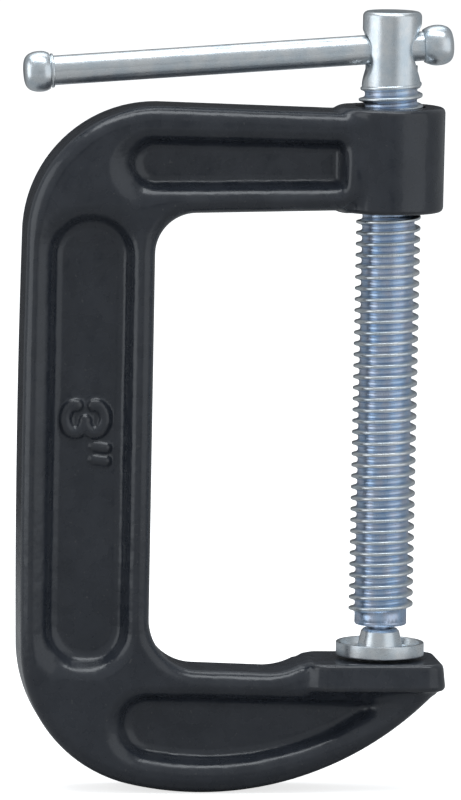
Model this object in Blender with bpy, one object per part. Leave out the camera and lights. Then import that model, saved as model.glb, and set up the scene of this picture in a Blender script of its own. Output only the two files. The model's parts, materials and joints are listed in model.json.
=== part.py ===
"""C clamp with a 76 mm opening: cast frame, threaded screw, swivel pad and sliding T-handle.

Seven solids, +Z up along the screw.  The origin is the middle of the frame's flat
back, half-way between the jaws; +X points from the spine to the screw.
"""
import math

import bmesh
import bpy
from mathutils import Matrix, Vector

METRES = 0.001                      # sizes below are in millimetres; the nodes are in metres

# --- frame: jaws and spine ----------------------------------------------------------------
THROAT_DEPTH = 42.5            # screw axis to the inside of the spine
SPINE_WIDTH = 23.0
THROAT_HEIGHT = 81.1           # anvil face to the underside of the boss
FRAME_THICKNESS = 15.0
EDGE_RADIUS = 2.4
SCREW_X = THROAT_DEPTH + SPINE_WIDTH
ANVIL_Z = -THROAT_HEIGHT / 2
BOSS_BOTTOM_Z = THROAT_HEIGHT / 2
BOSS_RADIUS = 9.85
BOSS_HEIGHT = 18.8
BOSS_EDGE = 0.9
BOSS_TOP_Z = BOSS_BOTTOM_Z + BOSS_HEIGHT
UPPER_CORNER_R = 23.7
LOWER_CORNER_R = 25.6
BELLY_R = 58.2
UPPER_THROAT_R = 7.4
LOWER_THROAT_R = 9.2
ARM_TOP = 100.1                # height of the upper arm's top above the anvil, at the spine
ARM_TOP_DROP = 1.2             # and how much lower it is at the screw
ARM_RISE = 0.7                 # the upper arm's underside climbs this much towards the boss
ARM_STEP = 1.5                 # the lower arm lies this far below the anvil face at the spine
ARM_SAG = 0.45                 # and this much further at the foot of the anvil's ramp
RAMP_R = 12.0

# --- frame: anvil and recesses ------------------------------------------------------------
ANVIL_LENGTH = 25.3
ANVIL_OVERHANG = 11.2          # past the screw axis
ANVIL_HALF_DEPTH = 9.7
ANVIL_HEIGHT = 4.8
WEB_THICKNESS = 7.2            # left between the recesses of the two sides
DRAFT = math.radians(24)
FLANGE = 3.6                   # rim left round the spine's recess

# --- screw --------------------------------------------------------------------------------
PITCH = 2.0
THREAD_CREST_R = 5.8
THREAD_ROOT_R = 4.7
CREST_WIDTH = 0.6
FLANK_WIDTH = 0.4
THREAD_STEPS = 16                   # facets to one turn
BORE_PLAY = 0.22               # radial clearance of the tapped bore
FLANK_PLAY = 0.12
HEAD_RADIUS = 5.3
HEAD_BOTTOM = 103.3            # heights above the anvil face
HEAD_TOP = 117.2
CROSS_HOLE_Z = 110.4
CROSS_HOLE_R = 3.0
CROSS_HOLE_MOUTH_R = 4.6

# --- swivel pad ---------------------------------------------------------------------------
REST_GAP = 0.6                 # pad face to anvil face, room for the pad's tilt
PAD_RADIUS = 7.95
PAD_RIM_HEIGHT = 2.4
PAD_RIM_WALL = 0.8
PAD_FLOOR = 1.0
HUB_HEIGHT = 4.85
HUB_BASE_R = 4.1
HUB_TOP_R = 3.4
BALL_R = 2.0
BALL_HEIGHT = 2.7              # ball centre above the pad's face
SOCKET_R = 2.15
NECK_R = 1.6
SHANK_START = 5.6              # thread end above the pad's face
RING_HEIGHT = 3.9
RING_R = 2.1
RING_WIRE_R = 0.3
GROOVE_R = 2.65
GROOVE_HALF = 0.55

# --- T-handle -----------------------------------------------------------------------------
BAR_R = 2.65
BAR_DROOP = math.radians(4.3)       # how far the loose bar leans in its hole
KNOB_R = 3.65
KNOB_LENGTH = 5.4
KNOB_SOCKET = 3.4
PRESS_GAP = 0.03
BAR_LEFT = -61.0 - KNOB_SOCKET     # bar ends, measured along the bar from the cross hole
BAR_RIGHT = 5.75 + KNOB_SOCKET

ROUND = 40


def at_anvil(height):
    """World height of a point given as a height above the anvil face."""
    return ANVIL_Z + height


def to_metres():
    """Scale every node from the millimetres it was drawn in."""
    for obj in bpy.data.objects:
        obj.data.transform(Matrix.Scale(METRES, 4))
        obj.location *= METRES


def clear_scene():
    for old in list(bpy.data.objects):
        bpy.data.objects.remove(old, do_unlink=True)


def material(name, colour, metallic, roughness):
    mat = bpy.data.materials.new(name)
    mat.use_nodes = True
    shader = mat.node_tree.nodes["Principled BSDF"]
    shader.inputs["Base Color"].default_value = (*colour, 1)
    shader.inputs["Metallic"].default_value = metallic
    shader.inputs["Roughness"].default_value = roughness
    return mat


def add_node(name, bm, mat, origin=(0, 0, 0)):
    """Turn a bmesh in world coordinates into an object whose origin is at `origin`."""
    bmesh.ops.translate(bm, verts=bm.verts, vec=-Vector(origin))
    bmesh.ops.recalc_face_normals(bm, faces=bm.faces)
    mesh = bpy.data.meshes.new(name)
    bm.to_mesh(mesh)
    bm.free()
    obj = bpy.data.objects.new(name, mesh)
    obj.location = origin
    if mat:
        mesh.materials.append(mat)
    bpy.context.collection.objects.link(obj)
    return obj


def boolean(target, tool, operation):
    """Apply a Boolean to the target's mesh and delete the tool."""
    mod = target.modifiers.new(operation, "BOOLEAN")
    mod.object, mod.operation, mod.solver = tool, operation, "EXACT"
    bpy.context.view_layer.update()
    solved = target.evaluated_get(bpy.context.evaluated_depsgraph_get())
    mesh = bpy.data.meshes.new_from_object(solved)
    target.modifiers.remove(mod)
    target.data = mesh
    bpy.data.objects.remove(tool, do_unlink=True)


# --- outlines -----------------------------------------------------------------------------

def arc(centre, radius, start, end, steps):
    """Points on an arc, angles in degrees, both ends included."""
    points = []
    for i in range(steps + 1):
        a = math.radians(start + (end - start) * i / steps)
        points.append(Vector((centre[0] + radius * math.cos(a), centre[1] + radius * math.sin(a))))
    return points


def rounded(corners, steps=5):
    """A closed outline from corners (x, y, radius), each corner replaced by a fillet arc."""
    outline = []
    for i, (x, y, radius) in enumerate(corners):
        here = Vector((x, y))
        back = (Vector(corners[i - 1][:2]) - here).normalized()
        ahead = (Vector(corners[(i + 1) % len(corners)][:2]) - here).normalized()
        half = back.angle(ahead) / 2
        centre = here + (back + ahead).normalized() * radius / math.sin(half)
        first = here + back * radius / math.tan(half) - centre
        last = here + ahead * radius / math.tan(half) - centre
        turn = first.angle_signed(last)
        for k in range(steps + 1):
            outline.append(centre + Matrix.Rotation(-turn * k / steps, 2) @ first)
    return outline


def inset(outline, distance):
    """Move every side of a clockwise outline inwards by `distance`, mitred at the points."""
    moved = []
    for i, here in enumerate(outline):
        d0 = (here - outline[i - 1]).normalized()
        d1 = (outline[(i + 1) % len(outline)] - here).normalized()
        n0, n1 = Vector((d0.y, -d0.x)), Vector((d1.y, -d1.x))
        moved.append(here + (n0 + n1) * distance / (1 + n0.dot(n1)))
    return moved


def side_view(point, depth):
    return Vector((point[0], depth, point[1]))


def top_view(point, height):
    return Vector((point[0], point[1], height))


def stack(layers, place):
    """A closed solid from (outline, level) layers with the same number of points."""
    bm = bmesh.new()
    rings = [[bm.verts.new(place(p, level)) for p in outline] for outline, level in layers]
    for low, high in zip(rings, rings[1:]):
        for i in range(len(low)):
            bm.faces.new((low[i - 1], low[i], high[i], high[i - 1]))
    bm.faces.new(rings[0][::-1])
    bm.faces.new(rings[-1])
    return bm


def rounded_edge(radius, steps=3):
    """(inset, drop) pairs down a rounded edge, from the flat face to the side wall."""
    pairs = []
    for i in range(steps + 1):
        a = math.pi / 2 * i / steps
        pairs.append((radius * (1 - math.sin(a)), radius * (1 - math.cos(a))))
    return pairs


# --- turned and threaded shapes -----------------------------------------------------------

def ring_of(bm, radius, height, steps):
    return [bm.verts.new((radius * math.cos(2 * math.pi * k / steps),
                          radius * math.sin(2 * math.pi * k / steps), height))
            for k in range(steps)]


def join_rings(bm, low, high):
    for k in range(len(low)):
        bm.faces.new((low[k - 1], low[k], high[k], high[k - 1]))


def close_to_point(bm, ring, height):
    tip = bm.verts.new((0, 0, height))
    for k in range(len(ring)):
        bm.faces.new((ring[k - 1], ring[k], tip))


def turned(profile, steps=ROUND):
    """A solid of revolution about Z; the profile (radius, height) starts and ends on the axis."""
    bm = bmesh.new()
    rings = [ring_of(bm, r, z, steps) for r, z in profile[1:-1]]
    for low, high in zip(rings, rings[1:]):
        join_rings(bm, low, high)
    close_to_point(bm, rings[0], profile[0][1])
    close_to_point(bm, rings[-1], profile[-1][1])
    return bm


def thread_profile(root, crest, spare):
    """(height, radius) across one ridge, from root to crest to root; `spare` widens it."""
    half = CREST_WIDTH / 2 + spare
    middle = PITCH / 2
    return [(middle - half - FLANK_WIDTH, root), (middle - half, crest),
            (middle + half, crest), (middle + half + FLANK_WIDTH, root)]


def add_thread(bm, start, turns, profile):
    """Wind a right-hand thread up from `start`; returns its bottom and top edges.

    Each edge is a list of M+1 chains of vertices, one to a facet, where the first or the last
    chain also holds the step of the helix.
    """
    steps, count = THREAD_STEPS, turns * THREAD_STEPS
    root = profile[0][1]
    rows = []
    for j in range(count + 1):
        angle = 2 * math.pi * j / steps
        swell = max(0.0, min(1.0, 2 * j / steps, 2 * (count - j) / steps))
        row = []
        for dz, r in profile:
            radius = root + (r - root) * swell
            height = start + dz + PITCH * j / steps
            row.append(bm.verts.new((radius * math.cos(angle), radius * math.sin(angle), height)))
        rows.append(row)
    for j in range(count):
        for a, b in zip(range(3), range(1, 4)):
            bm.faces.new((rows[j][a], rows[j + 1][a], rows[j + 1][b], rows[j][b]))
        if j + 1 + steps <= count:
            bm.faces.new((rows[j][3], rows[j + 1][3], rows[j + 1 + steps][0], rows[j + steps][0]))
    return rows


def cap_thread(bm, rows, low, high):
    """Join the thread's first and last turns to the rings below and above it."""
    steps, count = THREAD_STEPS, len(rows) - 1
    for j in range(steps - 1):
        bm.faces.new((low[j], low[j + 1], rows[j + 1][0], rows[j][0]))
    bm.faces.new([low[-1], low[0], *rows[0], rows[steps][0], rows[steps - 1][0]])
    last = count - steps
    for j in range(1, steps):
        bm.faces.new((rows[last + j][3], rows[last + j + 1][3], high[(j + 1) % steps], high[j]))
    bm.faces.new([rows[last][3], rows[last + 1][3], high[1], high[0], *rows[count][::-1]])


def thread_cutter(z_low, z_high):
    """The tapped bore as a solid, in step with the screw's thread at rest."""
    bm = bmesh.new()
    start = thread_start()
    first = math.floor((z_low - start) / PITCH) - 1
    turns = math.ceil((z_high - z_low) / PITCH) + 3
    base = start + first * PITCH
    top = base + turns * PITCH + PITCH
    profile = thread_profile(THREAD_ROOT_R + BORE_PLAY, THREAD_CREST_R + BORE_PLAY, FLANK_PLAY)
    low = ring_of(bm, profile[0][1], base, THREAD_STEPS)
    high = ring_of(bm, profile[0][1], top, THREAD_STEPS)
    cap_thread(bm, add_thread(bm, base, turns, profile), low, high)
    bm.faces.new(low[::-1])
    bm.faces.new(high)
    return bm


def thread_start():
    """World height at which the screw's first turn begins, at rest."""
    return at_anvil(REST_GAP + SHANK_START) + 0.9


# --- frame --------------------------------------------------------------------------------

def casting_outline():
    """Clockwise side outline of the casting, (x, z), from the foot of the spine's flat back."""
    top, under = at_anvil(ARM_TOP), BOSS_BOTTOM_Z + 0.5
    corner = Vector((LOWER_CORNER_R, at_anvil(2.7)))
    lean = Vector((0.227, 0.974))
    belly = corner + lean * (BELLY_R - LOWER_CORNER_R)
    belly_end = math.degrees(math.atan2(at_anvil(-6.0) - belly.y, SCREW_X + 9.6 - belly.x))
    belly_start = math.degrees(math.atan2(-lean.y, -lean.x))
    ramp = Vector((anvil_left() - 6.8, at_anvil(RAMP_R - ARM_STEP - ARM_SAG)))
    outline = arc((UPPER_CORNER_R, top - UPPER_CORNER_R), UPPER_CORNER_R, 180, 90, 12)
    outline += [Vector((SCREW_X, top - ARM_TOP_DROP)), Vector((SCREW_X, under))]
    outline += arc((SPINE_WIDTH + UPPER_THROAT_R, under - ARM_RISE - UPPER_THROAT_R),
                   UPPER_THROAT_R, 90, 180, 7)
    outline += arc((SPINE_WIDTH + LOWER_THROAT_R, at_anvil(LOWER_THROAT_R - ARM_STEP)),
                   LOWER_THROAT_R, 180, 270, 8)
    outline += arc(ramp, RAMP_R, 270, 298, 4)
    outline += [Vector((anvil_left() + 2, ANVIL_Z - 0.5)),
                Vector((SCREW_X + 9.6, ANVIL_Z - 0.5)),
                Vector((SCREW_X + 10.6, at_anvil(-4.4)))]
    outline += arc(belly, BELLY_R, belly_end, belly_start, 18)
    outline += arc(corner, LOWER_CORNER_R, belly_start, -180, 12)[1:]
    return outline


def recess_outlines():
    """Rims of the three recesses on one side, clockwise (x, z)."""
    in_edge, out_edge = SPINE_WIDTH - FLANGE, FLANGE
    spine = [(out_edge, at_anvil(81), 7.2), (in_edge, at_anvil(81), 7.2),
             (in_edge, at_anvil(-1.7), 7.2), (out_edge, at_anvil(-1.7), 7.2)]
    upper = [(16.9, at_anvil(95), 5.2), (57.0, at_anvil(94.4), 2.0),
             (57.0, at_anvil(85), 2.0), (16.9, at_anvil(83.8), 5.2)]
    return [rounded(spine, 7), rounded(upper), lower_recess()]


def lower_recess():
    """Rim of the lower arm's recess: its foot is one long arc that meets the top near the tip."""
    left, top = 16.8, at_anvil(-5.8)
    centre, radius, tip_r = Vector((33.6, at_anvil(36.9))), 55.8, 2.2
    tip_level = top - tip_r
    tip_x = centre.x + math.sqrt((radius - tip_r) ** 2 - (centre.y - tip_level) ** 2)
    tip_end = math.degrees(math.atan2(tip_level - centre.y, tip_x - centre.x))
    foot_r = 6.5
    foot_x = left + foot_r
    foot_z = centre.y - math.sqrt((radius - foot_r) ** 2 - (centre.x - foot_x) ** 2)
    foot_start = math.degrees(math.atan2(foot_z - centre.y, foot_x - centre.x))
    rim = arc((left + 5.5, top - 5.5), 5.5, 180, 90, 6)
    rim += arc((tip_x, tip_level), tip_r, 90, tip_end, 6)
    rim += arc(centre, radius, tip_end, foot_start, 12)[1:]
    rim += arc((foot_x, foot_z), foot_r, foot_start, -180, 6)[1:]
    return rim


def anvil_left():
    return SCREW_X + ANVIL_OVERHANG - ANVIL_LENGTH


def anvil_outline():
    left, right = anvil_left(), SCREW_X + ANVIL_OVERHANG
    deep = ANVIL_HALF_DEPTH
    return rounded([(left, deep, 3), (right, deep, 4.5),
                    (right, -deep, 4.5), (left, -deep, 3)])


def build_casting(mat):
    """The solid arms and spine, edges rounded, before the recesses are cut."""
    outline, half = casting_outline(), FRAME_THICKNESS / 2
    edge = rounded_edge(EDGE_RADIUS)
    layers = [(inset(outline, d), -half + drop) for d, drop in edge]
    layers += [(inset(outline, d), half - drop) for d, drop in reversed(edge)]
    return add_node("frame", stack(layers, side_view), mat)


def recess_cutter(rim, side):
    """A drafted pocket from just outside the face down to the web."""
    face, floor, out = FRAME_THICKNESS / 2, WEB_THICKNESS / 2, 1.0
    deep = inset(rim, (face - floor) * math.tan(DRAFT))
    wide = inset(rim, -out * math.tan(DRAFT))
    return stack([(deep, side * floor), (wide, side * (face + out))], side_view)


def anvil_block():
    outline = anvil_outline()
    levels = [(0.9, -ANVIL_HEIGHT - 0.6), (0.0, -ANVIL_HEIGHT + 0.5),
              (0.35, -0.8), (0.55, -0.25), (1.1, 0.0)]
    return stack([(inset(outline, d), ANVIL_Z + z) for d, z in levels], top_view)


def boss_solid():
    r, e = BOSS_RADIUS, BOSS_EDGE
    low, high = BOSS_BOTTOM_Z, BOSS_TOP_Z
    return turned([(0, low), (r - e, low), (r - 0.29 * e, low + 0.29 * e), (r, low + e),
                   (r, high - e), (r - 0.29 * e, high - 0.29 * e), (r - e, high), (0, high)])


def mouth_cutter(height, outwards):
    """The countersink at one end of the tapped bore."""
    wide, narrow = THREAD_CREST_R + 0.5, THREAD_ROOT_R - 0.6
    over = 0.2 * outwards
    return turned([(0, height + over), (wide + 0.2, height + over),
                   (narrow, height - (wide - narrow) * outwards),
                   (0, height - (wide - narrow) * outwards)])


def move_to_screw(bm):
    bmesh.ops.translate(bm, verts=bm.verts, vec=(SCREW_X, 0, 0))
    return bm


def build_frame(mat):
    frame = build_casting(mat)
    for rim in recess_outlines():
        for side in (-1, 1):
            boolean(frame, add_node("cutter", recess_cutter(rim, side), None), "DIFFERENCE")
    boolean(frame, add_node("anvil", anvil_block(), None), "UNION")
    boolean(frame, add_node("boss", move_to_screw(boss_solid()), None), "UNION")
    for height, way in ((BOSS_TOP_Z, 1), (BOSS_BOTTOM_Z, -1)):
        boolean(frame, add_node("mouth", move_to_screw(mouth_cutter(height, way)), None),
                "DIFFERENCE")
    bore = thread_cutter(BOSS_BOTTOM_Z, BOSS_TOP_Z)
    boolean(frame, add_node("bore", move_to_screw(bore), None), "DIFFERENCE")


# --- screw --------------------------------------------------------------------------------

def screw_solid():
    """Ball, neck, threaded shank and head in one turned piece, head still undrilled."""
    bm = bmesh.new()
    face = at_anvil(REST_GAP)
    ball, shank = face + BALL_HEIGHT, face + SHANK_START
    neck_angle = math.asin(NECK_R / BALL_R)
    below = []
    for i in range(1, 9):
        a = math.pi - (math.pi - neck_angle) * i / 8
        below.append((BALL_R * math.sin(a), ball + BALL_R * math.cos(a)))
    below += [(NECK_R, shank), (THREAD_ROOT_R - 0.5, shank), (THREAD_ROOT_R, shank + 0.5)]
    head, top = at_anvil(HEAD_BOTTOM), at_anvil(HEAD_TOP)
    above = [(THREAD_ROOT_R, head - 0.3), (HEAD_RADIUS - 0.2, head),
             (HEAD_RADIUS, head + 0.4), (HEAD_RADIUS, top - 1.3),
             (HEAD_RADIUS - 0.35, top - 0.6), (HEAD_RADIUS - 1.1, top - 0.25)]
    low = [ring_of(bm, r, z, THREAD_STEPS) for r, z in below]
    high = [ring_of(bm, r, z, THREAD_STEPS) for r, z in above]
    for rings in (low, high):
        for a, b in zip(rings, rings[1:]):
            join_rings(bm, a, b)
    turns = int((head - 0.3 - thread_start()) / PITCH)
    rows = add_thread(bm, thread_start(), turns, thread_profile(THREAD_ROOT_R, THREAD_CREST_R, 0))
    cap_thread(bm, rows, low[-1], high[0])
    close_to_point(bm, low[0], ball - BALL_R)
    close_to_point(bm, high[-1], top)
    return move_to_screw(bm)


def cross_hole_cutter():
    """The handle's hole through the head, with flared mouths."""
    reach, flat = HEAD_RADIUS + 1, 3.3
    flare = CROSS_HOLE_MOUTH_R + 1
    bm = turned([(0, -reach), (flare, -reach), (CROSS_HOLE_R, -flat), (CROSS_HOLE_R, flat),
                 (flare, reach), (0, reach)], 28)
    place = Matrix.Translation((SCREW_X, 0, at_anvil(CROSS_HOLE_Z))) @ Matrix.Rotation(
        math.pi / 2, 4, "Y")
    bmesh.ops.transform(bm, matrix=place, verts=bm.verts)
    return bm


def build_screw(mat):
    pivot = (SCREW_X, 0, at_anvil(REST_GAP + BALL_HEIGHT))
    screw = add_node("screw", screw_solid(), mat, pivot)
    boolean(screw, add_node("hole", cross_hole_cutter(), None), "DIFFERENCE")


# --- swivel pad and its ring --------------------------------------------------------------

def pad_solid():
    """Dished pad whose hub holds the ball and the ring groove, as one turned piece."""
    socket = [(SOCKET_R * math.cos(a), BALL_HEIGHT - SOCKET_R * math.sin(a))
              for a in (math.pi / 2 * i / 5 for i in range(6))]
    rim_in = PAD_RADIUS - PAD_RIM_WALL
    profile = [(0, 0), (PAD_RADIUS - 0.35, 0), (PAD_RADIUS, 0.35),
               (PAD_RADIUS, PAD_RIM_HEIGHT - 0.15), (PAD_RADIUS - 0.15, PAD_RIM_HEIGHT),
               (rim_in, PAD_RIM_HEIGHT), (rim_in - 0.3, PAD_FLOOR),
               (HUB_BASE_R, PAD_FLOOR), (HUB_TOP_R, HUB_HEIGHT - 0.4),
               (HUB_TOP_R - 0.4, HUB_HEIGHT), (SOCKET_R, HUB_HEIGHT),
               (SOCKET_R, RING_HEIGHT + GROOVE_HALF), (GROOVE_R, RING_HEIGHT + GROOVE_HALF),
               (GROOVE_R, RING_HEIGHT - GROOVE_HALF), (SOCKET_R, RING_HEIGHT - GROOVE_HALF)]
    profile += socket[:-1] + [(0, BALL_HEIGHT - SOCKET_R)]
    return turned([(r, z + at_anvil(REST_GAP)) for r, z in profile])


def ring_solid():
    """An open wire ring round the screw's neck."""
    bm = bmesh.new()
    sections, around, opening = 26, 8, math.radians(35)
    height = at_anvil(REST_GAP + RING_HEIGHT)
    loops = []
    for i in range(sections + 1):
        a = opening / 2 + (2 * math.pi - opening) * i / sections
        loop = []
        for k in range(around):
            b = 2 * math.pi * k / around
            r = RING_R + RING_WIRE_R * math.cos(b)
            loop.append(bm.verts.new((r * math.cos(a), r * math.sin(a),
                                      height + RING_WIRE_R * math.sin(b))))
        loops.append(loop)
    for low, high in zip(loops, loops[1:]):
        join_rings(bm, low, high)
    bm.faces.new(loops[0])
    bm.faces.new(loops[-1])
    return bm


def build_pad(zinc, spring_steel):
    pivot = (SCREW_X, 0, at_anvil(REST_GAP + BALL_HEIGHT))
    add_node("swivel_pad", move_to_screw(pad_solid()), zinc, pivot)
    add_node("pad_retaining_ring", move_to_screw(ring_solid()), spring_steel, pivot)


# --- handle -------------------------------------------------------------------------------

def lay_along_bar(bm):
    """Turn a solid from the Z axis to the leaning bar, its zero at the cross hole."""
    place = Matrix.Translation((SCREW_X, 0, at_anvil(CROSS_HOLE_Z))) @ Matrix.Rotation(
        math.pi / 2 - BAR_DROOP, 4, "Y")
    bmesh.ops.transform(bm, matrix=place, verts=bm.verts)
    return bm


def bar_solid():
    c = 0.3
    return turned([(0, BAR_LEFT), (BAR_R - c, BAR_LEFT), (BAR_R, BAR_LEFT + c),
                   (BAR_R, BAR_RIGHT - c), (BAR_R - c, BAR_RIGHT), (0, BAR_RIGHT)], 28)


def knob_solid(bar_end, way):
    """A squashed ball pressed on a bar end; `way` is the direction it points along the bar."""
    hole_r, seat = BAR_R + PRESS_GAP, KNOB_SOCKET
    shape = [(0, seat + PRESS_GAP), (hole_r, seat + PRESS_GAP), (hole_r, 0), (0.81, 0), (0.91, 0.1),
             (0.985, 0.3), (1.0, 0.46), (0.97, 0.64), (0.86, 0.82), (0.66, 0.94), (0.4, 0.99), (0, 1)]
    profile = []
    for i, (r, t) in enumerate(shape):
        if i > 2:
            r, t = r * KNOB_R, t * KNOB_LENGTH
        profile.append((r, bar_end + way * (t - seat)))
    return turned(profile, 32)


def build_handle(mat):
    pivot = (SCREW_X, 0, at_anvil(CROSS_HOLE_Z))
    add_node("handle_bar", lay_along_bar(bar_solid()), mat, pivot)
    add_node("handle_knob_left", lay_along_bar(knob_solid(BAR_LEFT, -1)), mat, pivot)
    add_node("handle_knob_right", lay_along_bar(knob_solid(BAR_RIGHT, 1)), mat, pivot)


def main():
    clear_scene()
    enamel = material("enamel", (0.035, 0.04, 0.05), 0.0, 0.3)
    zinc = material("zinc_plated_steel", (0.62, 0.65, 0.68), 1.0, 0.3)
    spring_steel = material("spring_steel", (0.3, 0.3, 0.32), 1.0, 0.4)
    build_frame(enamel)
    build_screw(zinc)
    build_pad(zinc, spring_steel)
    build_handle(zinc)
    to_metres()


main()
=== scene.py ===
import json
import math

import bpy
import numpy as np
from mathutils import Matrix, Vector


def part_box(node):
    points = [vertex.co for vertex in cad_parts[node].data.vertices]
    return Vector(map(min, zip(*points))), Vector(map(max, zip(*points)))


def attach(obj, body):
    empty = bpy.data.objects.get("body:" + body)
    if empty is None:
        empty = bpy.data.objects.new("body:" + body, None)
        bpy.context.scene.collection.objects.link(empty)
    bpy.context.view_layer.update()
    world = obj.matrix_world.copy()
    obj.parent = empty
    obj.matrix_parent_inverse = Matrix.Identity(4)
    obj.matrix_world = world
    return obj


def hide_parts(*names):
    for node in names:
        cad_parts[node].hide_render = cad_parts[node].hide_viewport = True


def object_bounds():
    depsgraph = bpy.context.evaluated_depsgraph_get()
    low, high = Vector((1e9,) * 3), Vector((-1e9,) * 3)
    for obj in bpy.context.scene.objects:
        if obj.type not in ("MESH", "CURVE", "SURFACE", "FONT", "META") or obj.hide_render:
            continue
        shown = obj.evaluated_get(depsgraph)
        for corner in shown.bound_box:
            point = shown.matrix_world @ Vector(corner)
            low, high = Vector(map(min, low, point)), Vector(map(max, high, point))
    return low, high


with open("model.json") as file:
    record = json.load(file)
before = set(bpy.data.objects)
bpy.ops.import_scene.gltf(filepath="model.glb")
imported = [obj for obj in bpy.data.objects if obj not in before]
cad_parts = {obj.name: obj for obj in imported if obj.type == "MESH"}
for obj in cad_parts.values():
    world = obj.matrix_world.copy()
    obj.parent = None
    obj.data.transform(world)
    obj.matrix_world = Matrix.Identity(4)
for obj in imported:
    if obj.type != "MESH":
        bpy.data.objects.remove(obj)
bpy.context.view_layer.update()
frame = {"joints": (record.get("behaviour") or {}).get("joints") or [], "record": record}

# Shapes are drawn in millimetres and turned into metres when a mesh is made.
MM = 0.001


def drawn(metres):
    """A vector from the frame, in millimetres."""
    return np.array(metres, float) / MM


# --- places taken from the frame ----------------------------------------------------------
FRAME_LOW, FRAME_HIGH = (drawn(c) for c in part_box("frame"))
JOINTS = {j["name"]: j for j in frame["joints"]}
BALL = drawn(JOINTS["screw_turn"]["pos_m"])
SCREW_X = BALL[0]
PAD_FACE = drawn(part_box("swivel_pad")[0])[2]
HEAD_TOP = drawn(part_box("screw")[1])[2]
REST_GAP = 0.6                          # room between pad and anvil at rest, for the pad's tilt
ANVIL = PAD_FACE - REST_GAP             # height of the anvil's face; it mirrors the boss's foot
BOSS_BOTTOM = -ANVIL
BOSS_TOP = BOSS_BOTTOM + 18.8
PITCH = 2000 * math.pi * frame["record"]["behaviour"]["couplings"][0]["ratio"]
THREAD_START = PAD_FACE + 6.5
BAR_WAY = Vector(JOINTS["handle_slide"]["axis"]).normalized()
CROSS_HOLE = np.array([SCREW_X, 0, HEAD_TOP - 6.8])

# --- casting ------------------------------------------------------------------------------
CELL = 0.5       # size of the casting's mesh
HALF = 7.5                              # half the casting's thickness
WEB = 3.6                               # half the web between the recesses
EDGE_R = 2.6                            # outer edges
LIP_R = 1.5                             # edges of the recesses
FLOOR_R = 1.2                           # corners of their floors
SPINE = 22.95                           # the spine's side of the throat
BACK = -0.1                             # the spine's back
BOSS_R = FRAME_HIGH[1]
ANVIL_RIGHT = FRAME_HIGH[0]
ANVIL_LEFT = ANVIL_RIGHT - 25.3
ANVIL_DEEP = 9.7

# --- screw --------------------------------------------------------------------------------
CREST_R, ROOT_R = 5.8, 4.7
BORE_PLAY = 0.22                        # added to the radius of the boss's thread
HEAD_R = 5.3
BAR_R = 2.65
HEAD_BOTTOM = ANVIL + 103.3
HOLE_R = 3.0                            # cross hole for the bar
MOUTH_LEFT, MOUTH_RIGHT, MOUTH_BELOW = 0.5, 1.9, 2.0    # rounding of the cross hole's mouths
THREAD_STEPS = 72


# --- distance fields ----------------------------------------------------------------------

def arc(x, z, radius, start, end, steps=24):
    """Points on an arc about (x, z), angles in degrees."""
    a = np.radians(np.linspace(start, end, steps + 1))
    return np.c_[x + radius * np.cos(a), z + radius * np.sin(a)]


def rounded(corners, steps=10):
    """A closed outline from clockwise corners (x, z, radius), with a fillet arc at each."""
    points = []
    for i, (x, z, radius) in enumerate(corners):
        here = np.array([x, z])
        following = corners[(i + 1) % len(corners)]
        back, ahead = np.array(corners[i - 1][:2]) - here, np.array(following[:2]) - here
        back, ahead = back / np.linalg.norm(back), ahead / np.linalg.norm(ahead)
        half = math.acos(np.clip(back @ ahead, -1, 1)) / 2
        middle = (back + ahead) / np.linalg.norm(back + ahead)
        centre = here + middle * radius / math.sin(half)
        sweep = math.pi / 2 - half
        across = np.array([middle[1], -middle[0]])
        across = across if across @ back > 0 else -across
        for a in np.linspace(sweep, -sweep, steps + 1):
            points.append(centre + radius * (across * math.sin(a) - middle * math.cos(a)))
    return np.array(points)


def stroke_distance(x, z, points):
    """Distance to an open line through the points."""
    best = np.full(np.broadcast(x, z).shape, np.inf)
    for (ax, az), (bx, bz) in zip(points, points[1:]):
        ex, ez = bx - ax, bz - az
        t = np.clip(((x - ax) * ex + (z - az) * ez) / (ex * ex + ez * ez), 0, 1)
        best = np.minimum(best, (x - ax - ex * t) ** 2 + (z - az - ez * t) ** 2)
    return np.sqrt(best)


def outline_distance(x, z, points):
    """Distance to a closed outline, negative inside it."""
    closed = np.vstack([points, points[:1]])
    inside = np.zeros(np.broadcast(x, z).shape, bool)
    for (ax, az), (bx, bz) in zip(closed, closed[1:]):
        if az != bz:
            crosses = ((az > z) != (bz > z)) & (x < (bx - ax) * (z - az) / (bz - az) + ax)
            inside ^= crosses
    return np.where(inside, -1, 1) * stroke_distance(x, z, closed)


def both(a, b, radius):
    """Overlap of two solids, the edge between them rounded to the radius."""
    u, v = np.maximum(radius + a, 0), np.maximum(radius + b, 0)
    return np.minimum(-radius, np.maximum(a, b)) + np.hypot(u, v)


def either(a, b, radius):
    """Union of two solids, the corner between them filled to the radius."""
    u, v = np.maximum(radius - a, 0), np.maximum(radius - b, 0)
    return np.maximum(radius, np.minimum(a, b)) - np.hypot(u, v)


def smooth(value, low, high):
    """0 below low, 1 above high, an even S between."""
    t = np.clip((value - low) / (high - low), 0, 1)
    return t * t * (3 - 2 * t)


def near(x, z, cx, cz, reach):
    """1 at a point of the side view, falling smoothly to 0 at the reach."""
    return smooth(1 - np.hypot(x - cx, z - cz) / reach, 0, 1)


# --- the casting's outlines ---------------------------------------------------------------

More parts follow.
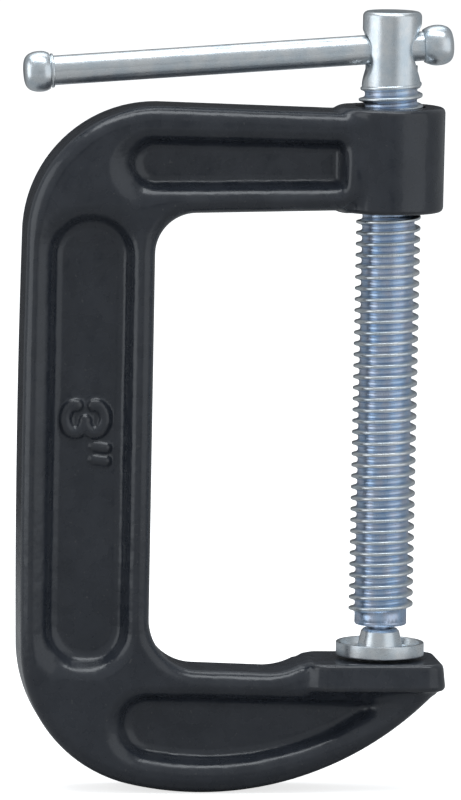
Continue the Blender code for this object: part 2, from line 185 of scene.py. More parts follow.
def casting_outline():
    """Clockwise side outline of arms and spine; the spine's back is very slightly bowed."""
    top, under, arm = ANVIL + 100.1, ANVIL + 81.6, ANVIL - 1.5
    lean = np.array([0.227, 0.974])
    corner_r, belly_r, shoulder_r = 25.6, 58.2, 23.8
    corner = np.array([BACK + corner_r, ANVIL + 2.7])
    belly = corner + lean * (belly_r - corner_r)
    start = math.degrees(math.atan2(ANVIL - 6.0 - belly[1], SCREW_X + 9.6 - belly[0]))
    end = math.degrees(math.atan2(-lean[1], -lean[0]))
    along = np.linspace(-1, 1, 11)
    back = np.c_[BACK - 0.35 * (1 - along ** 2), ANVIL + 39.5 + 36.8 * along]
    return np.vstack([
        back[1:-1],
        arc(BACK + shoulder_r, top - shoulder_r, shoulder_r, 180, 90),
        [(SCREW_X, top - 1.2), (SCREW_X, under + 2), (SCREW_X - 6.5, under + 2),
         (SCREW_X - 8.5, under)],
        arc(SPINE + 7.4, under - 0.65 - 7.4, 7.4, 90, 180, 16),
        arc(SPINE + 9.2, arm + 9.2, 9.2, 180, 270, 16),
        arc(ANVIL_LEFT - 6.8, arm - 0.45 + 12, 12, 270, 298, 8),
        [(ANVIL_LEFT + 0.6, ANVIL - 0.6), (ANVIL_LEFT + 3, ANVIL - 2.5),
         (SCREW_X + 8.8, ANVIL - 2.5), (SCREW_X + 9.6, ANVIL - 4.4)],
        arc(belly[0], belly[1], belly_r, start, end, 40),
        arc(corner[0], corner[1], corner_r, end, -180)[1:],
    ])


def lower_recess(left, top, fall, radius, corner_r, foot_r, tip_r):
    """The lower arm's recess: its foot is one arc that runs up to a sharp tip under the anvil."""
    cx, cz = 33.6, ANVIL + 36.9

    def level(x):
        return ANVIL + top - fall * (x - left) / 50

    tip_x = cx + math.sqrt((radius - tip_r) ** 2 - (cz - level(66) + tip_r) ** 2)
    tip_z = level(tip_x) - tip_r
    tip_end = math.degrees(math.atan2(tip_z - cz, tip_x - cx))
    foot_x = left + foot_r
    foot_z = cz - math.sqrt((radius - foot_r) ** 2 - (cx - foot_x) ** 2)
    foot_start = math.degrees(math.atan2(foot_z - cz, foot_x - cx))
    return np.vstack([
        arc(left + corner_r, level(left) - corner_r, corner_r, 180, 90, 12),
        arc(tip_x, tip_z, tip_r, 90, tip_end, 10),
        arc(cx, cz, radius, tip_end, foot_start, 40)[1:],
        arc(foot_x, foot_z, foot_r, foot_start, -180, 12)[1:],
    ])


def recesses():
    """Rim and floor outlines of the three recesses of one side."""
    a = ANVIL
    spine = [rounded([(lx, a + hz, r), (rx, a + hz, r), (rx, a + lz, r), (lx, a + lz, r)])
             for lx, rx, lz, hz, r in ((3.6, 19.4, -1.7, 81.0, 7.2), (5.4, 17.8, 0.5, 79.0, 5.9))]
    upper = [rounded([(16.8, a + 95, 5.2), (57.0, a + 94.4, 1.8),
                      (57.0, a + 85.1, 1.8), (16.8, a + 84.6, 5.2)]),
             rounded([(19.5, a + 93.4, 3.6), (55.9, a + 92.8, 0.9),
                      (55.9, a + 86.8, 0.9), (19.5, a + 86.2, 3.6)])]
    lower = [lower_recess(16.8, -5.5, 0.8, 55.8, 5.6, 6.6, 0.9),
             lower_recess(19.4, -7.1, 0.9, 54.2, 3.9, 4.6, 0.7)]
    return [spine, upper, lower]


def numeral_strokes():
    """Centre lines of the size numeral 3 and its inch marks, the numeral lying on its back."""
    cx, cz = 11.0, ANVIL + 43.65
    bowls = []
    for way in (-1, 1):
        a = np.radians(np.linspace(100, -172, 22))
        bowls.append(np.c_[cx + way * (1.78 + 1.85 * np.cos(a)), cz + 2.5 * np.sin(a)])
    marks = [np.array([(cx + 1.7, z + 0.15), (cx + 3.9, z - 0.15)])
             for z in (ANVIL + 38.55, ANVIL + 36.2)]
    return bowls, marks


OUTLINE = casting_outline()
RECESSES = recesses()
BOWLS, MARKS = numeral_strokes()


def arms_and_spine(x, y, z):
    """The bare casting with its drafted recesses, whose edges are softer in four places."""
    deep = np.abs(y)
    body = both(outline_distance(x, z, OUTLINE), deep - HALF, EDGE_R)
    soft = 1.5 * near(x, z, 17.5, ANVIL + 87.5, 10) + 0.9 * near(x, z, 20, ANVIL + 80, 7)
    soft += 0.8 * near(x, z, 66, ANVIL - 9, 14) + 0.5 * near(x, z, 20, ANVIL - 14, 9)
    soft += 1.3 * smooth((9.0 - x) / 4, 0, 1)
    sunk = (HALF - deep) / (HALF - WEB)
    for rim, floor in RECESSES:
        at_rim, at_floor = outline_distance(x, z, rim), outline_distance(x, z, floor)
        steep = np.sqrt(1 + ((at_rim - at_floor) / (HALF - WEB)) ** 2)
        wall = ((1 - sunk) * at_rim + sunk * at_floor) / steep
        pocket = both(wall, WEB - deep, FLOOR_R)
        body = both(body, -pocket, LIP_R + soft)
    return body


def numeral(x, y, z):
    """Raised size mark on the spine's web, on the front only, with full rounded strokes."""
    bowl_r, mark_r = 1.15, 0.95
    high = (-y - WEB + 0.1) * 1.25
    bowls = np.minimum(*(stroke_distance(x, z, b) for b in BOWLS))
    marks = np.minimum(*(stroke_distance(x, z, m) for m in MARKS))
    return either(np.hypot(bowls, high) - bowl_r, np.hypot(marks, high) - mark_r, 0.2)


def boss(x, y, z):
    """The round boss, a little slimmer towards its foot, with a run of paint low on its left."""
    middle, half = (BOSS_TOP + BOSS_BOTTOM) / 2, (BOSS_TOP - BOSS_BOTTOM) / 2
    across = np.hypot(x - SCREW_X, y)
    shell = both(across - BOSS_R - 0.004 * (z - BOSS_TOP), np.abs(z - middle) - half, 0.9)
    u, v, w = (x - 59.2) / 1.55, (y + 7.45) / 0.7, (z - ANVIL - 86.7) / 3.4
    run = (np.sqrt(u * u + v * v + w * w) - 1) * 0.8
    return either(shell, run, 0.6)


def anvil(x, y, z):
    """The raised anvil block, its sides leaning outwards towards the bottom."""
    cx, half = (ANVIL_LEFT + ANVIL_RIGHT) / 2, (ANVIL_RIGHT - ANVIL_LEFT) / 2 - 0.45
    depth = ANVIL - z
    radius = np.where(x > cx, 3.2, 3.4)
    u, v = np.abs(x - cx) - half + radius, np.abs(y) - ANVIL_DEEP + 0.45 + radius
    plan = np.minimum(np.maximum(u, v), 0) + np.hypot(np.maximum(u, 0), np.maximum(v, 0)) - radius
    return both(plan - 0.11 * np.clip(depth, 0, 4.1), np.abs(depth - 2.5) - 2.5, 0.85)


def casting(x, y, z):
    """Signed distance to the painted casting."""
    body = either(arms_and_spine(x, y, z), numeral(x, y, z), 0.45)
    body = either(body, anvil(x, y, z), 1.6)
    return either(body, boss(x, y, z), 1.3)


def screw_head(x, y, z):
    """The cross-drilled head; the right mouth is the wider, and both run out in a flare below."""
    across = np.hypot(x - SCREW_X, y)
    dome = z - HEAD_TOP + 0.055 * across ** 1.4 * 0.35
    solid = both(across - HEAD_R, dome, 0.9)
    solid = both(solid, HEAD_BOTTOM - z, 0.35)
    neck = both(across - ROOT_R, np.abs(z - HEAD_BOTTOM) - 1.2, 0.1)
    solid = either(solid, neck, 0.3)
    rise = z - CROSS_HOLE[2]
    rise = rise - 0.42 * smooth(np.abs(x - SCREW_X), 2.5, 4.5) * np.minimum(rise + 2.2, 0)
    hole = np.hypot(y, rise) - HOLE_R
    lip = MOUTH_LEFT + (MOUTH_RIGHT - MOUTH_LEFT) * smooth(x - SCREW_X, -1.0, 1.0)
    return both(solid, -hole, lip + (MOUTH_BELOW - lip) * smooth(-rise, 0.5, 3.0))


# --- meshes -------------------------------------------------------------------------------

def surface_net(field, low, high, cell):
    """Vertices and quads of the field's zero surface, one vertex to each cell it passes."""
    axes = [np.arange(a - 2 * cell, b + 2.5 * cell, cell) for a, b in zip(low, high)]
    grid = np.asarray(field(axes[0][:, None, None], axes[1][None, :, None], axes[2][None, None, :]))
    shape = np.array(grid.shape)
    sums, counts = np.zeros((grid.size, 3)), np.zeros(grid.size)
    quads = []
    for axis in range(3):
        first = np.moveaxis(grid, axis, 0)[:-1]
        second = np.moveaxis(grid, axis, 0)[1:]
        at = np.argwhere((first < 0) != (second < 0))
        f0, f1 = first[tuple(at.T)], second[tuple(at.T)]
        step = f0 / (f0 - f1)
        others = [a for a in range(3) if a != axis]
        corner = np.empty_like(at)
        corner[:, axis], corner[:, others[0]], corner[:, others[1]] = at[:, 0], at[:, 1], at[:, 2]
        point = corner.astype(float)
        point[:, axis] += step
        ring = []
        for d0, d1 in ((0, 0), (1, 0), (1, 1), (0, 1)):
            cell_at = corner.copy()
            cell_at[:, others[0]] -= d0
            cell_at[:, others[1]] -= d1
            flat = np.ravel_multi_index(cell_at.T, shape)
            for k in range(3):
                sums[:, k] += np.bincount(flat, point[:, k], grid.size)
            counts += np.bincount(flat, minlength=grid.size)
            ring.append(flat)
        ring = np.stack(ring, 1)
        turn = (f0 < 0) != (axis == 1)
        ring[~turn] = ring[~turn][:, ::-1]
        quads.append(ring)
    quads = np.vstack(quads)
    used, faces = np.unique(quads, return_inverse=True)
    vertices = sums[used] / counts[used][:, None] * cell + [a[0] for a in axes]
    return vertices, faces.reshape(quads.shape)


def gradient(field, points, step=0.03):
    """Unit outward direction of a distance field at points, and its value there."""
    value = field(*points.T)
    slopes = []
    for axis in range(3):
        moved = points.copy()
        moved[:, axis] += step
        slopes.append((field(*moved.T) - value) / step)
    slopes = np.stack(slopes, 1)
    return value, slopes / np.maximum(np.linalg.norm(slopes, axis=1, keepdims=True), 1e-9)


def settle(field, points, cell, rounds=2):
    """Pull points on to the field's zero surface."""
    for _ in range(rounds):
        value, way = gradient(field, points)
        points = points - way * np.clip(value, -cell / 2, cell / 2)[:, None]
    return points


def new_piece(name, vertices, faces, mat):
    """A smooth-shaded mesh object from millimetre vertices."""
    mesh = bpy.data.meshes.new(name)
    mesh.from_pydata((np.asarray(vertices) * MM).tolist(), [],
                     faces if isinstance(faces, list) else faces.tolist())
    mesh.materials.append(mat)
    mesh.polygons.foreach_set("use_smooth", [True] * len(mesh.polygons))
    mesh.update()
    piece = bpy.data.objects.new(name, mesh)
    bpy.context.collection.objects.link(piece)
    return piece


def combine(piece, tool, operation):
    """Boolean the tool into the piece, and remove the tool."""
    mod = piece.modifiers.new(operation, "BOOLEAN")
    mod.operation, mod.object, mod.solver = operation, tool, "MANIFOLD"
    shown = piece.evaluated_get(bpy.context.evaluated_depsgraph_get())
    mesh = bpy.data.meshes.new_from_object(shown)
    piece.modifiers.clear()
    piece.data = mesh
    bpy.data.objects.remove(tool)


def give_normals(piece, field, keep):
    """Set a piece's normals from its distance field where `keep` says the surface is the field's."""
    mesh = piece.data
    points = np.empty(len(mesh.vertices) * 3, np.float32)
    mesh.vertices.foreach_get("co", points)
    points = points.reshape(-1, 3).astype(float) / MM
    normals = np.array([v.normal for v in mesh.vertices], float)
    mask = keep(*points.T)
    normals[mask] = gradient(field, points[mask])[1]
    mesh.normals_split_custom_set_from_vertices(normals.tolist())


def turned(profile, steps=96):
    """Vertices and faces of a profile (radius, height) turned about Z, both ends on the axis."""
    around = 2 * np.pi * np.arange(steps) / steps
    vertices = [(0, 0, profile[0][1])]
    for r, z in profile[1:-1]:
        vertices += [(r * math.cos(a), r * math.sin(a), z) for a in around]
    vertices.append((0, 0, profile[-1][1]))
    last = len(vertices) - 1
    faces = []
    for k in range(steps):
        n = (k + 1) % steps
        faces.append((0, 1 + n, 1 + k))
        for ring in range(len(profile) - 3):
            low = 1 + ring * steps
            faces.append((low + k, low + n, low + steps + n, low + steps + k))
        faces.append((last, last - steps + k, last - steps + n))
    return np.array(vertices, float), faces


def fillet(points, radii, steps=5):
    """A profile with its corners rounded; radii has one entry to a point, 0 for a sharp one."""
    result = []
    for i, (p, r) in enumerate(zip(points, radii)):
        here = np.array(p, float)
        if r == 0 or i in (0, len(points) - 1):
            result.append(tuple(here))
            continue
        back, ahead = np.array(points[i - 1]) - here, np.array(points[i + 1]) - here
        back, ahead = back / np.linalg.norm(back), ahead / np.linalg.norm(ahead)
        half = math.acos(np.clip(back @ ahead, -1, 1)) / 2
        first, last = here + back * r / math.tan(half), here + ahead * r / math.tan(half)
        for t in np.linspace(0, 1, steps + 1):
            result.append(tuple((1 - t) ** 2 * first + 2 * t * (1 - t) * here + t * t * last))
    return result


# --- thread -------------------------------------------------------------------------------

def thread_section(spare_r=0.0, spare_w=0.0):
    """(height, radius) across one pitch, from the middle of one valley to the next."""
    shape = [(0.0, ROOT_R - 0.02), (0.3, ROOT_R + 0.03), (0.46, ROOT_R + 0.17),
             (0.57, ROOT_R + 0.45), (0.68, CREST_R - 0.24), (0.78, CREST_R - 0.05), (0.88, CREST_R)]
    left = [(h - spare_w * min(1, h * 4), r + spare_r) for h, r in shape]
    right = [(PITCH - h, r) for h, r in left[::-1]]
    return left + right[:-1]


def thread_mesh(start, turns, section, root, low, high, idle=0.0, fade=0.0, runout=0.5):
    """A right-hand threaded shank from height low to height high, closed by flat ends.

    The thread is gone for the last `idle` turns, and lower by `fade` just before that.
    """
    steps, rows = THREAD_STEPS, turns * THREAD_STEPS + 1
    j = np.arange(rows)
    angle = 2 * np.pi * j / steps
    swell = smooth(j, 0, steps * runout) * smooth(rows - 1 - j, steps * idle, steps * (idle + runout))
    swell = swell * (1 - fade * smooth(j, rows - 2.6 * steps, rows - 1.2 * steps))
    h, r = np.array(section).T
    radius = root + (r[None, :] - root) * swell[:, None]
    height = start + h[None, :] + PITCH * j[:, None] / steps
    vertices = np.stack([radius * np.cos(angle)[:, None], radius * np.sin(angle)[:, None],
                         height], -1).reshape(-1, 3)
    n = len(section)

    def at(row, k):
        return row * n + k

    faces = []
    for row in range(rows - 1):
        for k in range(n - 1):
            faces.append((at(row, k), at(row + 1, k), at(row + 1, k + 1), at(row, k + 1)))
        if row + 1 + steps < rows:
            faces.append((at(row, n - 1), at(row + 1, n - 1),
                          at(row + 1 + steps, 0), at(row + steps, 0)))
    base = len(vertices)
    ring = 2 * np.pi * np.arange(steps) / steps
    ends = [np.stack([root * np.cos(ring), root * np.sin(ring), np.full(steps, z)], -1)
            for z in (low, high)]
    vertices = np.vstack([vertices, *ends])
    bottom, top = base + np.arange(steps), base + steps + np.arange(steps)
    for k in range(steps - 1):
        faces.append((bottom[k], bottom[k + 1], at(k + 1, 0), at(k, 0)))
    faces.append([bottom[-1], bottom[0], *(at(0, k) for k in range(n)),
                  at(steps, 0), at(steps - 1, 0)])
    last = rows - 1 - steps
    for k in range(1, steps):
        faces.append((at(last + k, n - 1), at(last + k + 1, n - 1), top[(k + 1) % steps], top[k]))
    faces.append([at(last, n - 1), at(last + 1, n - 1), top[1], top[0],
                  *(at(rows - 1, k) for k in reversed(range(n)))])
    faces += [list(bottom[::-1]), list(top)]
    return vertices, [[int(v) for v in f] for f in faces]


# --- pieces -------------------------------------------------------------------------------

def on_screw_axis(vertices):
    """Shapes turned about the origin, moved to the screw's axis."""
    return vertices + [SCREW_X, 0, 0]


def build_casting(mat):
    """The casting, its boss tapped right through and countersunk at both ends."""
    points, faces = surface_net(casting, FRAME_LOW, FRAME_HIGH, CELL)
    points = settle(casting, points, CELL)
    piece = new_piece("casting", points, faces, mat)
    wide, deep = CREST_R + 0.5, 1.1
    for height, way in ((BOSS_TOP, 1), (BOSS_BOTTOM, -1)):
        cone = [(0, height + 0.5 * way), (wide + 0.5, height + 0.5 * way),
                (wide - deep, height - deep * way), (0, height - deep * way)]
        verts, cone_faces = turned(cone[::way], 72)
        mouth = new_piece("mouth", on_screw_axis(verts), cone_faces, mat)
        combine(piece, mouth, "DIFFERENCE")
    first = math.floor((BOSS_BOTTOM - THREAD_START) / PITCH) - 1
    turns = math.ceil((BOSS_TOP - BOSS_BOTTOM) / PITCH) + 3
    start = THREAD_START + first * PITCH
    verts, tap_faces = thread_mesh(start, turns, thread_section(BORE_PLAY, 0.1), ROOT_R + BORE_PLAY,
                                   start - 0.5, start + (turns + 1) * PITCH + 0.5)
    tap = new_piece("tap", on_screw_axis(verts), tap_faces, mat)
    combine(piece, tap, "DIFFERENCE")
    give_normals(piece, casting, lambda x, y, z: np.hypot(x - SCREW_X, y) > CREST_R + 0.7)
    return piece


def build_screw(mat):
    """The threaded shank with the neck and ball below it and the cross-drilled head on top."""
    shank = PAD_FACE + 5.6
    turns = int((HEAD_BOTTOM - 0.3 - THREAD_START) / PITCH) + 2
    verts, faces = thread_mesh(THREAD_START, turns, thread_section(), ROOT_R, shank + 0.3,
                               HEAD_BOTTOM + 4, idle=0.5, fade=0.3)
    piece = new_piece("screw_body", on_screw_axis(verts), faces, mat)
    ball_r, neck_r = 2.0, 1.6
    bend = np.linspace(math.pi, math.asin(neck_r / ball_r), 18)
    tail = [(ball_r * math.sin(a), BALL[2] + ball_r * math.cos(a)) for a in bend]
    tail += fillet([(neck_r, shank - 1), (neck_r, shank), (ROOT_R, shank), (ROOT_R, shank + 0.8)],
                   [0, 0.2, 0.45, 0])
    tail += [(0, shank + 0.8)]
    verts, faces = turned(tail, THREAD_STEPS)
    combine(piece, new_piece("tail", on_screw_axis(verts), faces, mat), "UNION")
    cell = 0.16
    low = np.array([SCREW_X - HEAD_R, -HEAD_R, HEAD_BOTTOM - 1.2])
    high = np.array([SCREW_X + HEAD_R, HEAD_R, HEAD_TOP])
    points, faces = surface_net(screw_head, low, high, cell)
    points = settle(screw_head, points, cell)
    combine(piece, new_piece("head", points, faces, mat), "UNION")
    return piece


def build_pad(mat):
    """The dished pad, its hub hollowed for the ball, with a groove for the wire ring."""
    f, b = PAD_FACE, BALL[2]
    rim, wall, rim_high, dish_floor, hub_high = 7.95, 0.75, 2.4, 1.0, 4.85
    socket_r, groove_r, groove_low, groove_high = 2.15, 2.65, 3.35, 4.45
    points = [(0, f), (rim, f), (rim, f + rim_high), (rim - wall, f + rim_high),
              (rim - wall - 0.3, f + dish_floor), (4.2, f + dish_floor), (3.45, f + 4.4),
              (3.0, f + hub_high), (socket_r, f + hub_high), (socket_r, f + groove_high),
              (groove_r, f + groove_high), (groove_r, f + groove_low), (socket_r, f + groove_low)]
    radii = [0, 0.3, 0.12, 0.2, 0.4, 0.6, 0.4, 0.2, 0.1, 0, 0, 0, 0]
    profile = fillet(points, radii)
    socket = np.linspace(0, math.pi / 2, 12)
    profile += [(socket_r * math.cos(a), b - socket_r * math.sin(a)) for a in socket[:-1]]
    profile += [(0, b - socket_r)]
    verts, faces = turned(profile, 128)
    return new_piece("pad_disc", on_screw_axis(verts), faces, mat)


def along_bar(vertices):
    """Lay a shape drawn up the Z axis along the handle, its zero at the cross hole."""
    turn = Vector((0, 0, 1)).rotation_difference(BAR_WAY).to_matrix()
    return np.asarray(vertices) @ np.array(turn).T + CROSS_HOLE


def build_handle(mat):
    """The bar and its two pressed-on knobs; the left knob has a seam ring behind it."""
    left, right, seat = -64.4, 9.15, 3.4
    bar = fillet([(0, left), (BAR_R, left), (BAR_R, right), (0, right)], [0, 0.3, 0.3, 0])
    verts, faces = turned(bar, 96)
    pieces = {"bar": new_piece("bar", along_bar(verts), faces, mat)}
    ball = [(2.96, 0.0), (3.18, 0.4), (3.46, 1.1), (3.62, 1.8), (3.65, 2.5), (3.6, 3.2), (3.44, 3.85),
            (3.12, 4.5), (2.6, 4.98), (1.9, 5.25), (1.0, 5.37), (0, 5.4)]
    seam = [(2.95, 0.0), (3.06, 0.12), (3.06, 0.42), (2.84, 0.52), (2.84, 0.62)]
    seamed_ball = [(3.22, 0.74), (3.45, 1.2)] + ball[3:]
    hole = BAR_R + 0.03
    for name, end, way in (("knob_left", left, -1), ("knob_right", right, 1)):
        outside = seam + catmull(seamed_ball) if way < 0 else catmull(ball)
        shape = [(0, seat + 0.03), (hole, seat + 0.03), (hole, 0.05), (hole + 0.06, 0.0)] + outside
        profile = [(r, end + way * (t - seat)) for r, t in shape]
        verts, faces = turned(profile[::way], 96)
        pieces[name] = new_piece(name, along_bar(verts), faces, mat)
    return pieces


def catmull(points, steps=4):
    """A smooth curve through the points."""
    p = np.array([points[0], *points, (-points[-2][0], points[-2][1])], float)
    curve = []
    for i in range(1, len(p) - 2):
        for t in np.arange(steps) / steps:
            a, b, c, d = p[i - 1:i + 3]
            curve.append(0.5 * (2 * b + (c - a) * t + (2 * a - 5 * b + 4 * c - d) * t ** 2
                                + (3 * b - a - 3 * c + d) * t ** 3))
    return [tuple(q) for q in curve] + [points[-1]]


def build_ring(mat):
    """The open wire ring behind the ball."""
    steps, around, gap = 90, 20, math.radians(35)
    ring_r, wire_r, height = 2.1, 0.3, PAD_FACE + 3.9
    verts, faces = [], []
    for i in range(steps + 1):
        a = gap / 2 + (2 * math.pi - gap) * i / steps
        for k in range(around):
            b = 2 * math.pi * k / around
            r = ring_r + wire_r * math.cos(b)
            verts.append((SCREW_X + r * math.cos(a), r * math.sin(a), height + wire_r * math.sin(b)))
    for i in range(steps):
        for k in range(around):
            n = (k + 1) % around
            faces.append((i * around + k, (i + 1) * around + k, (i + 1) * around + n, i * around + n))
    faces += [list(range(around)), [steps * around + k for k in reversed(range(around))]]
    return new_piece("wire_ring", np.array(verts), faces, mat)


# --- materials ----------------------------------------------------------------------------

class Shader:
    """A node tree with short names for the nodes these materials use."""

    def __init__(self, name):
        self.mat = bpy.data.materials.new(name)
        self.mat.use_nodes = True
        self.tree = self.mat.node_tree
        self.out = self.tree.nodes["Principled BSDF"]
        self.coords = self.tree.nodes.new("ShaderNodeTexCoord").outputs["Object"]

    def node(self, kind, **settings):
        made = self.tree.nodes.new("ShaderNode" + kind)
        for key, value in settings.items():
            setattr(made, key, value)
        return made

    def feed(self, socket, value):
        if isinstance(value, bpy.types.NodeSocket):
            self.tree.links.new(value, socket)
        else:
            socket.default_value = value

    def scaled(self, x, y, z):
        made = self.node("Mapping")
        self.feed(made.inputs["Vector"], self.coords)
        made.inputs["Scale"].default_value = (x, y, z)
        return made.outputs["Vector"]

    def noise(self, size_mm, detail=2.0, rough=0.5, stretch=(1, 1, 1)):
        """Noise with features of about this size in millimetres."""
        made = self.node("TexNoise")
        self.feed(made.inputs["Vector"], self.scaled(*stretch))
        made.inputs["Scale"].default_value = 1 / (size_mm * MM)
        made.inputs["Detail"].default_value = detail
        made.inputs["Roughness"].default_value = rough
        return made.outputs["Fac"]

    def ramp(self, value, low, high, to_low=0.0, to_high=1.0):
        made = self.node("MapRange")
        keys = ("Value", "From Min", "From Max", "To Min", "To Max")
        for key, v in zip(keys, (value, low, high, to_low, to_high)):
            self.feed(made.inputs[key], v)
        return made.outputs["Result"]

    def math(self, operation, a, b=0.0):
        made = self.node("Math", operation=operation)
        self.feed(made.inputs[0], a)
        self.feed(made.inputs[1], b)
        return made.outputs["Value"]

    def mix(self, factor, a, b):
        made = self.node("Mix", data_type="RGBA")
        self.feed(made.inputs["Factor"], factor)
        self.feed(made.inputs["A"], a)
        self.feed(made.inputs["B"], b)
        return made.outputs["Result"]

    def bump(self, height, depth_mm, after=None):
        made = self.node("Bump")
        made.inputs["Distance"].default_value = depth_mm * MM
        self.feed(made.inputs["Height"], height)
        if after:
            self.feed(made.inputs["Normal"], after)
        return made.outputs["Normal"]

    def set(self, **inputs):
        for key, value in inputs.items():
            self.feed(self.out.inputs[key.replace("_", " ")], value)


def rgb(r, g, b):
    return (r, g, b, 1.0)


def enamel():
    """Dark gloss enamel on a sand casting: orange peel, soft waves, specks, and edges lightened both for
    thin paint and as a painted highlight.
    """
    s = Shader("enamel_charcoal")
    mottle = s.noise(6, 4, 0.6)
    colour = s.mix(s.ramp(mottle, 0.35, 0.65), rgb(0.020, 0.0245, 0.034), rgb(0.031, 0.036, 0.047))
    edges = s.node("NewGeometry").outputs["Pointiness"]
    # Convex edges are lightened: partly thin paint over the casting, partly a painted highlight along
    # the edges.
    thin_edge_and_highlight = s.math("MULTIPLY", s.ramp(edges, 0.505, 0.53), s.ramp(s.noise(1.5, 3), 0.35, 0.7, 0.2, 1.0))
    colour = s.mix(s.math("MULTIPLY", thin_edge_and_highlight, 0.22), colour, rgb(0.07, 0.066, 0.062))
    speck = s.ramp(s.noise(0.55, 0), 0.82, 0.86)
    colour = s.mix(s.math("MULTIPLY", speck, 0.4), colour, rgb(0.10, 0.10, 0.10))
    waves = s.bump(s.noise(8, 1), 0.22)
    blotches = s.bump(s.noise(2.8, 2), 0.10, waves)
    peel = s.bump(s.noise(0.9, 1), 0.010, blotches)
    grit = s.bump(speck, 0.03, peel)
    s.set(Base_Color=colour, Roughness=s.ramp(s.noise(3, 3), 0.3, 0.7, 0.22, 0.34), Normal=grit)
    s.set(Specular_IOR_Level=0.5, Coat_Weight=0.3, Coat_Roughness=0.1, Coat_Normal=blotches)
    return s.mat


def zinc(name, grain, tinted=False):
    """Bright zinc plate; grain stretches its marks, tinted adds blue in the thread's valleys."""
    s = Shader(name)
    patches = s.noise(3.5, 3, 0.55)
    colour = s.mix(s.ramp(patches, 0.35, 0.65), rgb(0.70, 0.78, 0.84), rgb(0.88, 0.90, 0.91))
    if tinted:
        away = s.node("VectorMath", operation="DISTANCE")
        flat = s.node("VectorMath", operation="MULTIPLY")
        s.feed(flat.inputs[0], s.coords)
        flat.inputs[1].default_value = (1, 1, 0)
        s.feed(away.inputs[0], flat.outputs["Vector"])
        away.inputs[1].default_value = (SCREW_X * MM, 0, 0)
        inner = s.ramp(away.outputs["Value"], 5.35 * MM, 4.7 * MM)
        parts = s.node("SeparateXYZ")
        s.feed(parts.inputs[0], s.coords)
        under_head = s.ramp(parts.outputs["Z"], HEAD_BOTTOM * MM, (HEAD_BOTTOM - 0.8) * MM)
        hue = s.mix(s.ramp(s.noise(2.2, 2), 0.4, 0.6), rgb(0.34, 0.54, 0.85), rgb(0.49, 0.57, 0.78))
        colour = s.mix(s.math("MULTIPLY", s.math("MULTIPLY", inner, under_head), 0.65), colour, hue)
    lines = s.noise(0.5, 3, 0.6, grain)
    spots = s.ramp(s.noise(0.8, 2), 0.62, 0.75)
    colour = s.mix(s.math("MULTIPLY", spots, 0.25), colour, rgb(0.62, 0.64, 0.66))
    surface = s.bump(lines, 0.006, s.bump(s.noise(2.5, 2), 0.03))
    s.set(Base_Color=colour, Metallic=1.0, Roughness=s.ramp(lines, 0.3, 0.7, 0.24, 0.38), Normal=surface)
    return s.mat


def spring_wire():
    """Dark drawn wire with an oily film."""
    s = Shader("spring_wire")
    film = s.noise(0.7, 3)
    colour = s.mix(s.ramp(film, 0.35, 0.65), rgb(0.16, 0.16, 0.17), rgb(0.30, 0.29, 0.28))
    s.set(Base_Color=colour, Metallic=1.0, Roughness=s.ramp(film, 0.3, 0.7, 0.28, 0.45))
    s.set(Normal=s.bump(s.noise(0.15, 2), 0.004))
    return s.mat


# --- stage --------------------------------------------------------------------------------

def build_stage():
    """A pale floor, a little dimmer in the clamp's reflections, which see past its far parts."""
    s = Shader("pale_floor")
    path = s.node("LightPath")
    seen = path.outputs["Is Camera Ray"]
    grain = s.mix(s.ramp(s.noise(40, 2), 0.3, 0.7), rgb(0.80, 0.80, 0.80), rgb(0.84, 0.84, 0.84))
    s.set(Base_Color=s.mix(seen, rgb(0.4, 0.4, 0.4), grain), Roughness=0.9, Emission_Color=rgb(1, 1, 1))
    s.set(Emission_Strength=s.math("MULTIPLY", seen, 0.75), Specular_IOR_Level=0.1)
    away = s.node("VectorMath", operation="LENGTH")
    s.feed(away.inputs[0], s.coords)
    far = s.math("MULTIPLY", s.ramp(away.outputs["Value"], 0.2, 0.4), path.outputs["Is Glossy Ray"])
    blend = s.node("MixShader")
    s.feed(blend.inputs[0], far)
    s.feed(blend.inputs[1], s.out.outputs["BSDF"])
    s.feed(blend.inputs[2], s.node("BsdfTransparent").outputs["BSDF"])
    s.feed(s.tree.nodes["Material Output"].inputs["Surface"], blend.outputs["Shader"])
    low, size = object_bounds()[0][2], 12
    corners = [(-size, -size, low), (size, -size, low), (size, size, low), (-size, size, low)]
    mesh = bpy.data.meshes.new("floor")
    mesh.from_pydata(corners, [], [(0, 1, 2, 3)])
    mesh.materials.append(s.mat)
    floor = bpy.data.objects.new("floor", mesh)
    bpy.context.collection.objects.link(floor)


COOL = (0.92, 0.965, 1.0)
LIGHTS = (  # name, place, width and height in metres, radiance
    ("left", (-1.27, -0.22, 0.1), 1.15, 1.7, 1.05),
    ("top", (-0.05, -0.22, 1.08), 1.2, 0.40, 3.4),
    ("top_back", (-0.05, 0.42, 1.0), 1.2, 0.45, 1.5),
    ("right", (0.98, -0.84, 0.1), 1.3, 1.7, 0.42),
)
# Brightness of the surroundings from right in front (0) to right behind (1).
SURROUNDINGS = ((0.0, 0.44), (0.2, 0.46), (0.5, 0.36), (0.93, 0.30), (0.975, 0.05))


def area_light(name, place, width, height, radiance):
    """A cool soft box aimed at the clamp; its brightness is what a mirror would show."""
    light = bpy.data.lights.new(name, "AREA")
    light.shape, light.size, light.size_y = "RECTANGLE", width, height
    light.energy, light.color = radiance * math.pi * width * height, COOL
    lamp = bpy.data.objects.new(name, light)
    lamp.location = place
    lamp.rotation_euler = (Vector((0.035, 0, 0.01)) - Vector(place)).to_track_quat("-Z", "Y").to_euler()
    bpy.context.collection.objects.link(lamp)


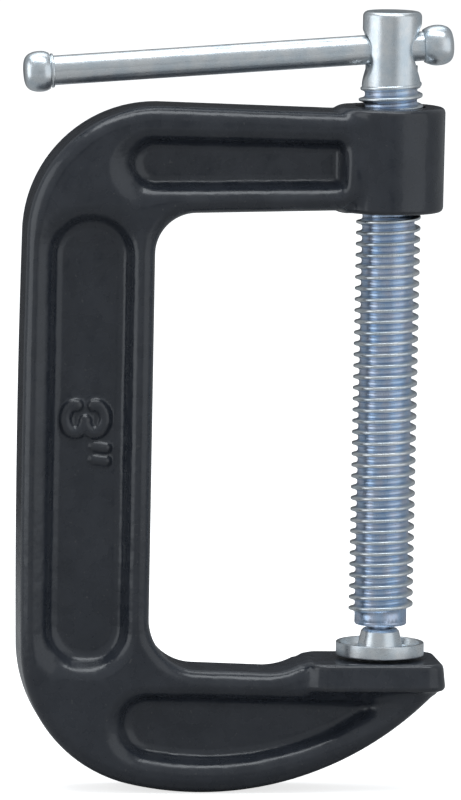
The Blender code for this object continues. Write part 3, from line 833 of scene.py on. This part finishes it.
def build_lights():
    """Soft boxes at the left, right and above; the surroundings are dark only right behind."""
    for light in LIGHTS:
        area_light(*light)
    world = bpy.data.worlds.new("studio")
    world.use_nodes = True
    tree = world.node_tree
    part = tree.nodes.new("ShaderNodeSeparateXYZ")
    tree.links.new(tree.nodes.new("ShaderNodeTexCoord").outputs["Generated"], part.inputs[0])
    shift = tree.nodes.new("ShaderNodeMapRange")
    tree.links.new(part.outputs["Y"], shift.inputs["Value"])
    shift.inputs["From Min"].default_value = -1
    ramp = tree.nodes.new("ShaderNodeValToRGB")
    tree.links.new(shift.outputs["Result"], ramp.inputs["Fac"])
    for at, level in SURROUNDINGS:
        stop = ramp.color_ramp.elements.new(at)
        stop.color = (level * COOL[0], level * COOL[1], level, 1)
    ramp.color_ramp.elements[-1].color = (0.05, 0.05, 0.05, 1)
    tree.links.new(ramp.outputs["Color"], tree.nodes["Background"].inputs["Color"])
    bpy.context.scene.world = world


# --- camera -------------------------------------------------------------------------------
AIM = Vector((37.55, 0, 46.75 + ANVIL)) * MM
DISTANCE = 1.642                        # metres
ELEVATION = math.radians(6.7)
AZIMUTH = math.radians(-6.6)
ROLL = math.radians(1.06)
LENS = 411.3


def build_camera():
    """A long lens, a little to the left and above, slightly rolled."""
    data = bpy.data.cameras.new("camera")
    data.lens, data.clip_start, data.clip_end = LENS, 0.05, 60
    camera = bpy.data.objects.new("camera", data)
    back = Vector((math.sin(AZIMUTH) * math.cos(ELEVATION), -math.cos(AZIMUTH) * math.cos(ELEVATION),
                   math.sin(ELEVATION)))
    turn = back.to_track_quat("Z", "Y").to_matrix().to_4x4() @ Matrix.Rotation(ROLL, 4, "Z")
    camera.matrix_world = Matrix.Translation(AIM + back * DISTANCE) @ turn
    bpy.context.collection.objects.link(camera)
    bpy.context.scene.camera = camera


def place(piece, node, body, slot):
    """Put a piece in its CAD node's place, on its body."""
    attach(piece, body)
    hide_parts(node)


def main():
    plate = "zinc_plated_steel"
    paint = enamel()
    screw_zinc = zinc("zinc_screw", (6, 6, 0.5), tinted=True)
    bar_zinc = zinc("zinc_bar", (0.3, 5, 5))
    pad_zinc = zinc("zinc_pad", (0.6, 0.6, 8))
    place(build_casting(paint), "frame", "frame", "enamel")
    place(build_screw(screw_zinc), "screw", "screw", plate)
    place(build_pad(pad_zinc), "swivel_pad", "pad", plate)
    place(build_ring(spring_wire()), "pad_retaining_ring", "pad_carrier", "spring_steel")
    for name, piece in build_handle(bar_zinc).items():
        place(piece, "handle_" + name, "handle", plate)
    build_stage()
    build_lights()
    build_camera()
    bpy.context.scene.view_settings.view_transform = "Standard"


main()
